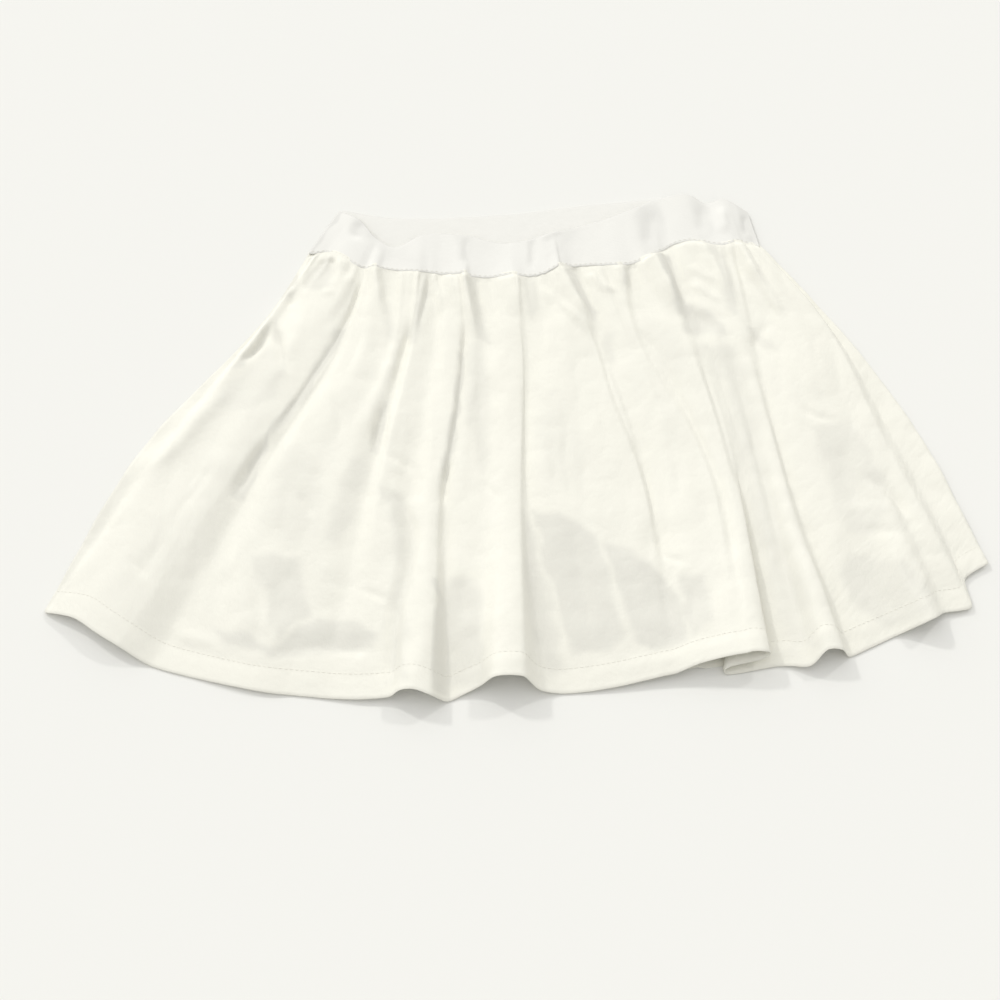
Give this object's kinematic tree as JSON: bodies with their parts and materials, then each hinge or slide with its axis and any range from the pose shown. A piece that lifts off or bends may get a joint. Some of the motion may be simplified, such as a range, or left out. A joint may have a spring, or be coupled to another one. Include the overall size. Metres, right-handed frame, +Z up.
{
  "type": "tennis skirt",
  "caption": "Short pleated tennis skirt with a wide elastic waistband, gathered waist and turned hem, laid flat.",
  "frame": {"origin": "middle of the laid-out skirt's bounding box, on the surface it lies on", "axes": "+X across the skirt towards the wearer's left as seen from the front, +Y from the hem to the waist, +Z up, out of the front of the skirt"},
  "size_m": [0.5974, 0.4052, 0.0211],
  "materials": {
    "skirt_cloth": "plain woven cream-white cotton blend with a faint soft sheen",
    "waist_elastic": "matt white woven elastic webbing with fine ribs"
  },
  "bodies": {
    "root": {"skirt_front": "skirt_cloth", "skirt_back": "skirt_cloth", "hem_front": "skirt_cloth", "hem_back": "skirt_cloth", "waistband_front": "waist_elastic", "waistband_back": "waist_elastic"}
  },
  "joints": []
}
